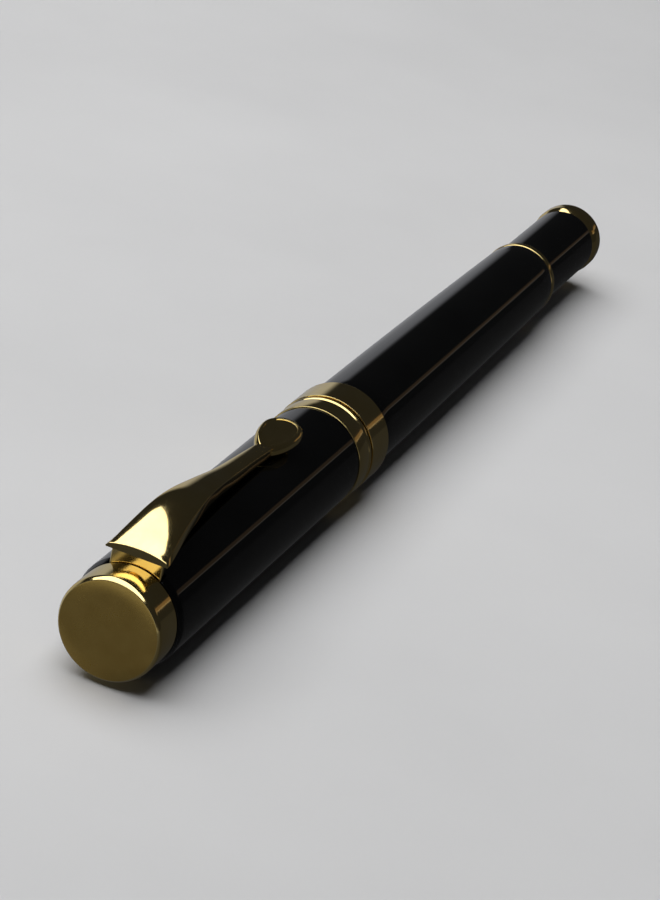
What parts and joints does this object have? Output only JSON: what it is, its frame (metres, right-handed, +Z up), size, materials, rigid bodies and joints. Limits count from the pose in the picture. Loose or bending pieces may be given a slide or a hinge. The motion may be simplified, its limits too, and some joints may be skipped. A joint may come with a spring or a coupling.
{
  "type": "rollerball pen",
  "caption": "Slim capped rollerball pen: glossy black tapered body, gold trim, flat crown, arched pocket clip with a round end, narrower tail.",
  "frame": {"origin": "centre of the bounding box's bottom, on the surface that the cap band rests on", "axes": "+X along the pen from the cap's crown to the tail; +Z up, the side the clip is on; the pen is symmetric about the XZ plane"},
  "size_m": [0.138, 0.0112, 0.0146],
  "materials": {
    "crown_gold": "gold plate, fine satin end face and polished side",
    "clip_gold": "mirror-polished gold plate",
    "trim_gold": "polished gold plate",
    "black_lacquer": "glossy black lacquer on brass tube",
    "liner_plastic": "black moulded plastic",
    "neck_plastic": "black moulded plastic",
    "raw_brass": "machined brass",
    "steel": "plain steel",
    "tip_nickel": "turned nickel silver",
    "ball_carbide": "polished hard metal"
  },
  "bodies": {
    "cap": {"cap_finial": "crown_gold", "cap_tube": "black_lacquer", "inner_cap": "liner_plastic", "cap_lip_ring": "trim_gold", "cap_band": "trim_gold"},
    "clip": {"pocket_clip": "clip_gold"},
    "snap_ring_body": {"snap_ring": "steel"},
    "section": {"grip_sleeve": "black_lacquer", "nose_cone": "trim_gold", "section_coupling": "raw_brass"},
    "section_trim": {"section_collar": "trim_gold"},
    "refill": {"refill_tube": "steel", "refill_plug": "liner_plastic", "refill_neck": "neck_plastic", "refill_tip": "tip_nickel"},
    "ball": {"writing_ball": "ball_carbide"},
    "barrel": {"barrel_tube": "black_lacquer", "barrel_thread_bush": "raw_brass", "step_ring": "trim_gold", "tail_tube": "black_lacquer", "tail_plug": "steel", "tail_finial": "trim_gold", "refill_spring": "steel"}
  },
  "joints": [
    {"name": "section_draw", "type": "slide", "parent": "barrel", "child": "section_trim", "axis": [-1, 0, 0], "range_m": [0, 0.00675]},
    {"name": "section_turn", "type": "hinge", "parent": "section_trim", "child": "section", "pos_m": [-0.0114, 0, 0.00566], "axis": [-1, 0, 0], "range_deg": [0, 3240.1]},
    {"name": "cap_turn", "type": "hinge", "parent": "section", "child": "snap_ring_body", "pos_m": [-0.01645, 0, 0.00566], "axis": [1, 0, 0], "continuous": true},
    {"name": "cap_pull", "type": "slide", "parent": "snap_ring_body", "child": "cap", "axis": [-1, 0, 0], "range_m": [0, 0.06]},
    {"name": "clip_flex", "type": "hinge", "parent": "cap", "child": "clip", "pos_m": [-0.06465, 0, 0.00566], "axis": [0, -1, 0], "range_deg": [0, 2.5], "stiffness_Nm_per_rad": 4.5, "springref_deg": -0.57},
    {"name": "refill_float", "type": "slide", "parent": "section", "child": "refill", "axis": [1, 0, 0], "range_m": [0, 0.0008], "stiffness_N_per_m": 150, "springref_m": -0.003, "deforming": ["refill_spring"]},
    {"name": "ball_roll", "type": "hinge", "parent": "refill", "child": "ball", "pos_m": [-0.0565, 0, 0.00566], "axis": [0, 1, 0], "continuous": true}
  ],
  "couplings": [
    {"joint": "section_turn", "follows": "section_draw", "rad_per_m": 8377.6}
  ]
}
